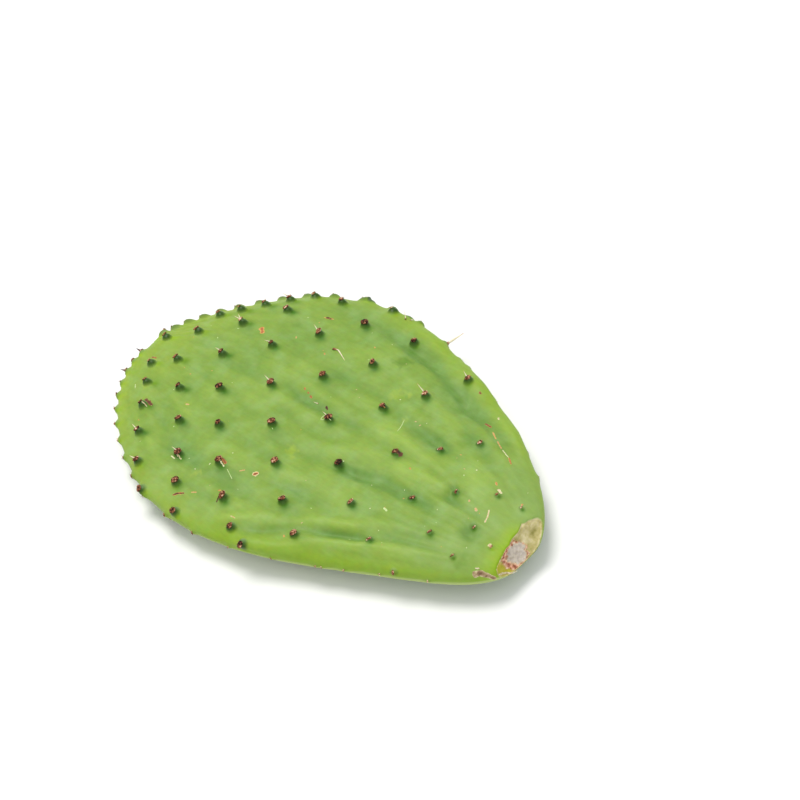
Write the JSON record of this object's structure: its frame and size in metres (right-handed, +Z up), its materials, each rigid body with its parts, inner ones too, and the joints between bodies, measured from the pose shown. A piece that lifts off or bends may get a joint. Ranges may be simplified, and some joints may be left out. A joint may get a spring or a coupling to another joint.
{
  "type": "prickly pear cactus pad",
  "caption": "Cut prickly pear pad: a flat egg-shaped fleshy stem with rows of tubercles and areoles, short spines and an oblique cut end, lying flat.",
  "frame": {"origin": "under the middle of the bounding box, on the surface that the pad lies on", "axes": "+Y from the cut end to the tip, +X across the pad, +Z up out of the upper face"},
  "size_m": [0.1613, 0.2344, 0.0256],
  "materials": {
    "cactus_skin": null,
    "dry_spine": "dry, cream with an amber point",
    "dried_leaf": "dried, dark brown and papery"
  },
  "bodies": {
    "root": {"pad": "cactus_skin", "spine_01": "dry_spine", "spine_02": "dry_spine", "spine_03": "dry_spine", "spine_04": "dry_spine", "spine_05": "dry_spine", "spine_06": "dry_spine", "spine_07": "dry_spine", "spine_08": "dry_spine", "spine_09": "dry_spine", "spine_10": "dry_spine", "spine_11": "dry_spine", "spine_12": "dry_spine", "spine_13": "dry_spine", "rim_spine": "dry_spine", "loose_spine": "dry_spine", "leaf_tip_1": "dried_leaf", "leaf_tip_2": "dried_leaf", "leaf_tip_3": "dried_leaf"}
  },
  "joints": []
}
